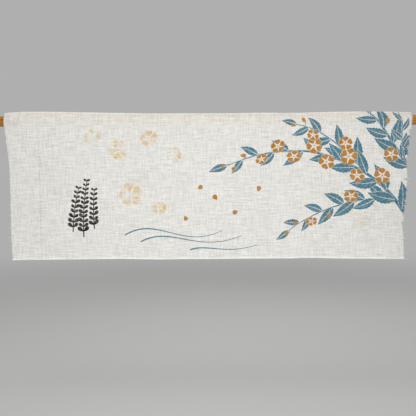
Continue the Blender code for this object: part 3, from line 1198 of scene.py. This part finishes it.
def spin_yarns(shape, routes, radii):
    """A small disc at the root of each route, all drawn out together from place to place."""
    number = shape.verts.layers.int.new("yarn")
    caps = []
    for here, route in enumerate(routes):
        way = (route[1] - route[0]).to_track_quat("Z", "Y").to_matrix().to_4x4()
        at_root = Matrix.Translation(route[0]) @ way
        disc = bmesh.ops.create_circle(
            shape, cap_ends=True, segments=YARN_SIDES, radius=radii[here], matrix=at_root
        )
        for point in disc["verts"]:
            point[number] = here
        caps.append(disc["verts"][0].link_faces[0])
    step = 1
    while caps:
        caps = bmesh.ops.extrude_discrete_faces(shape, faces=caps)["faces"]
        for cap in caps:
            route = routes[cap.verts[0][number]]
            thinner = 1 - YARN_TAPER / len(route)
            for point in cap.verts:
                point.co = route[step] + (point.co - route[step - 1]) * thinner
        step += 1
        caps = [cap for cap in caps if step < len(routes[cap.verts[0][number]])]
    bmesh.ops.holes_fill(shape, edges=shape.edges[:], sides=YARN_SIDES)
    bmesh.ops.recalc_face_normals(shape, faces=shape.faces)


def gather(end, across):
    """How much the yarn ends cling together at a height on the raw cut, 0 to 1."""
    chance = noise.noise(Vector((across * GATHER_RATE, end * 5.0, 2.0)))
    return smooth(0.5 + GATHER_SWING * chance)


def fray_ends():
    """All the yarn ends of both cuts, as one piece, in the dyes of the cloth beside them."""
    hand = random.Random(23)
    yarns = []
    for end in (-1, 1):
        count = round(CUT_WIDTH / FRAY_PITCH)
        for place in range(1, count):
            across = CUT_WIDTH * place / count
            clump = gather(end, across)
            closing = (gather(end, across - GATHER_REACH) - gather(end, across + GATHER_REACH)) / 2
            length = FRAY_SHORT + FRAY_LONG[end] * clump * hand.uniform(*FRAY_LENGTHS)
            lean = FRAY_DROOP + GATHER_LEAN * closing + hand.uniform(*FRAY_LEANS)
            for tuft_end, centre, half_width, reach in TUFTS:
                off = (across - centre) / half_width
                if end == tuft_end and abs(off) < TUFT_SPREAD:
                    length += TUFT_GAIN * reach * math.exp(-off * off) * hand.uniform(*TUFT_LENGTHS)
                    lean += TUFT_FAN * off
            sideways, curl = hand.uniform(*FRAY_SIDEWAYS), hand.uniform(*FRAY_CURLS)
            yarns.append((end, across, length, sideways, lean, curl, FRAY_STEPS))
    fine = len(yarns)
    for end, across, length, lean, curl in LOOSE_THREADS:
        sideways = hand.uniform(*THREAD_SIDEWAYS)
        yarns.append((end, across, length, sideways, lean, curl, THREAD_STEPS))
    radii = [YARN_RADIUS if here < fine else THREAD_RADIUS for here in range(len(yarns))]
    shape = bmesh.new()
    spin_yarns(shape, [fray_route(*yarn) for yarn in yarns], radii)
    cut_place = shape.verts.layers.float_vector.new("cut_place")
    dyes = shape.loops.layers.float_color.new("dyes")
    number = shape.verts.layers.int["yarn"]
    roots = [complex(end_x(end, across) - end * FRAY_ROOT, across) for end, across, *_ in yarns]
    amounts = dyes_at(numpy.array(roots))
    for point in shape.verts:
        root = roots[point[number]]
        point[cut_place] = (root.real, root.imag, hem_distance(root.real) - root.imag)
        for loop in point.link_loops:
            loop[dyes] = amounts[point[number]]
    shape.verts.layers.int.remove(number)
    for face in shape.faces:
        face.smooth = True
    return shape


frayed_ends = keep_piece("frayed_ends", fray_ends(), towel_finish)

# The studio. A pale floor well below the towel fades into an even grey backdrop. Three broad soft lights
# stand before the towel, above it and behind it, and the front one is the strongest.

FLOOR_DROP = 0.60
FLOOR_REACH = 4.2
FLOOR_FADE_FROM = 0.7
FLOOR_FADE_TO = 0.8 * FLOOR_REACH
FLOOR_COLOUR = (0.62, 0.62, 0.61, 1)
BACKDROP_GREY = (0.43, 0.43, 0.43, 1)
LIGHTS = (
    # name, place, what it faces, width, height, watts, spread in degrees
    ("front_light", (-0.01, -2.0, 0.08), (0, 0, -0.19), 0.9, 0.7, 4.72, 80),
    ("top_light", (-0.4, -0.4, 1.6), (0, 0, -0.10), 1.4, 1.0, 2.6, 120),
    ("back_light", (0.5, 1.9, 1.0), (0, 0, -0.12), 1.4, 1.0, 4.0, 100),
)
CAMERA_PLACE = (0.0, -1.353, -0.139)
CAMERA_DIP = math.radians(2.161)
CAMERA_ROLL = math.radians(-0.278)
FOCAL_PIXELS = 620
PICTURE_PIXELS = 416
SENSOR_MM = 36.0


def lay_floor():
    """A wide plain floor that thins out towards its rim."""
    shape = bmesh.new()
    bmesh.ops.create_grid(shape, x_segments=1, y_segments=1, size=FLOOR_REACH)
    bmesh.ops.translate(shape, verts=shape.verts, vec=(0, 0, -FLOOR_DROP))
    finish, tree, shader = new_finish("pale_floor")
    place = put_node(tree, "ShaderNodeTexCoord").outputs["Object"]
    level = put_node(tree, "ShaderNodeVectorMath", {0: place, 1: (1, 1, 0)}, operation="MULTIPLY").outputs[0]
    far = put_node(tree, "ShaderNodeVectorMath", {0: level}, operation="LENGTH").outputs["Value"]
    tree.links.new(fade_out(tree, far, FLOOR_FADE_FROM, FLOOR_FADE_TO), shader.inputs["Alpha"])
    shader.inputs["Base Color"].default_value = FLOOR_COLOUR
    shader.inputs["Roughness"].default_value = 0.9
    mesh = bpy.data.meshes.new("floor")
    shape.to_mesh(mesh)
    shape.free()
    mesh.materials.append(finish)
    floor = bpy.data.objects.new("floor", mesh)
    bpy.context.scene.collection.objects.link(floor)


def hang_light(name, place, aim, width, height, watts, spread):
    """One broad soft light at a place, turned to what it faces."""
    lamp = bpy.data.lights.new(name, "AREA")
    lamp.spread = math.radians(spread)
    lamp.shape = "RECTANGLE"
    lamp.size = width
    lamp.size_y = height
    lamp.energy = watts
    light = bpy.data.objects.new(name, lamp)
    bpy.context.scene.collection.objects.link(light)
    light.location = place
    light.rotation_euler = (Vector(aim) - Vector(place)).to_track_quat("-Z", "Y").to_euler()


lay_floor()
for row in LIGHTS:
    hang_light(*row)
world = bpy.data.worlds.new("studio")
bpy.context.scene.world = world
world.use_nodes = True
world.node_tree.nodes["Background"].inputs["Color"].default_value = BACKDROP_GREY
bpy.context.scene.view_settings.view_transform = "Standard"

camera_data = bpy.data.cameras.new("camera")
camera_data.sensor_width = SENSOR_MM
camera_data.lens = SENSOR_MM * FOCAL_PIXELS / PICTURE_PIXELS
camera = bpy.data.objects.new("camera", camera_data)
bpy.context.scene.collection.objects.link(camera)
camera.matrix_world = (
    Matrix.Translation(CAMERA_PLACE)
    @ Matrix.Rotation(math.pi / 2 - CAMERA_DIP, 4, "X")
    @ Matrix.Rotation(CAMERA_ROLL, 4, "Z")
)
bpy.context.scene.camera = camera
